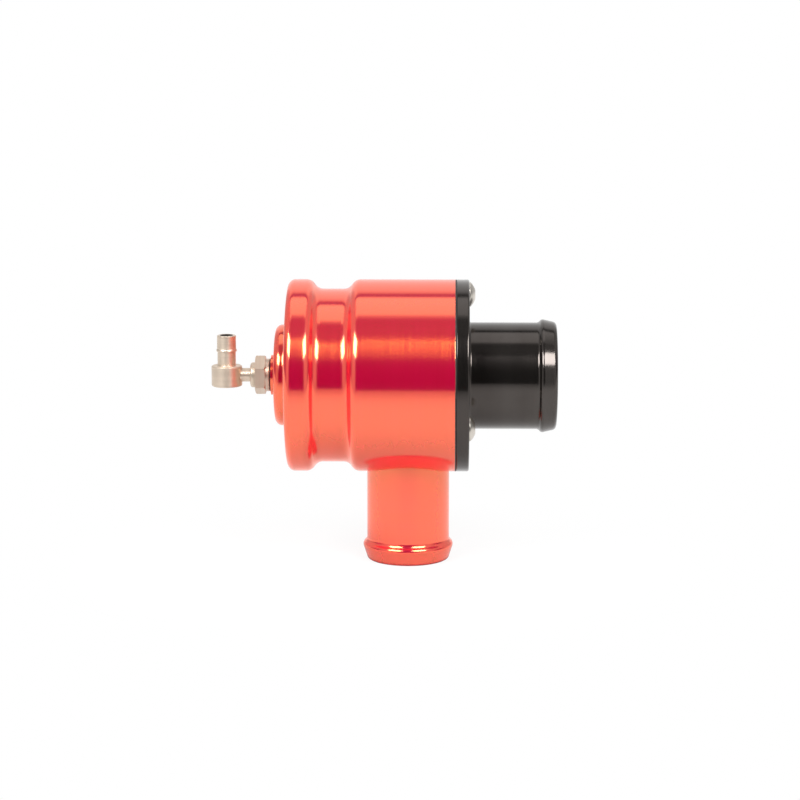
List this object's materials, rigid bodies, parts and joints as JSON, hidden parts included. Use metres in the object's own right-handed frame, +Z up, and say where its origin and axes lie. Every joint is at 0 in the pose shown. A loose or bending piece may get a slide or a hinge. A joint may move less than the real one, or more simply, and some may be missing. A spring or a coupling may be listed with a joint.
{
  "type": "blow off valve",
  "caption": "Turbo blow off valve: turned red cup with a spring loaded piston, black bolted inlet flange with hose tail, outlet hose tail below and a swivel elbow for the signal hose.",
  "frame": {"origin": "centre of the outlet hose tail's open end, which the valve stands on", "axes": "+Z up along the outlet axis, +X along the main axis towards the inlet, +Y to the back"},
  "size_m": [0.081, 0.045, 0.0663],
  "materials": {
    "red_anodised": "turned and anodised red, fine brushed gloss",
    "black_anodised": "turned and anodised black, semi gloss",
    "bare_aluminium": "turned",
    "stainless": "bright stainless",
    "spring_steel": "drawn wire",
    "nickel": "nickel plated brass",
    "seal_rubber": "matt black",
    "slide_ring": "white slide plastic"
  },
  "bodies": {
    "housing": {"body": "red_anodised", "outlet_hose_tail": "red_anodised", "inlet_flange": "black_anodised", "flange_screws": "stainless", "flange_o_ring": "seal_rubber", "spring": "spring_steel", "spring_seat": "stainless", "hex_stud": "nickel", "stud_gasket": "seal_rubber"},
    "piston_group": {"piston": "bare_aluminium", "piston_seal": "seal_rubber", "piston_guide_ring": "slide_ring", "piston_face_seal": "seal_rubber"},
    "signal_elbow": {"elbow": "nickel", "swivel_stem": "nickel", "stem_o_ring": "seal_rubber"}
  },
  "joints": [
    {"name": "piston_lift", "type": "slide", "parent": "housing", "child": "piston_group", "axis": [-1, 0, 0], "range_m": [0, 0.0112], "stiffness_N_per_m": 1500, "springref_m": -0.012, "deforming": ["spring"]},
    {"name": "elbow_swivel", "type": "hinge", "parent": "housing", "child": "signal_elbow", "pos_m": [-0.04265, 0, 0.0438], "axis": [1, 0, 0], "continuous": true}
  ]
}
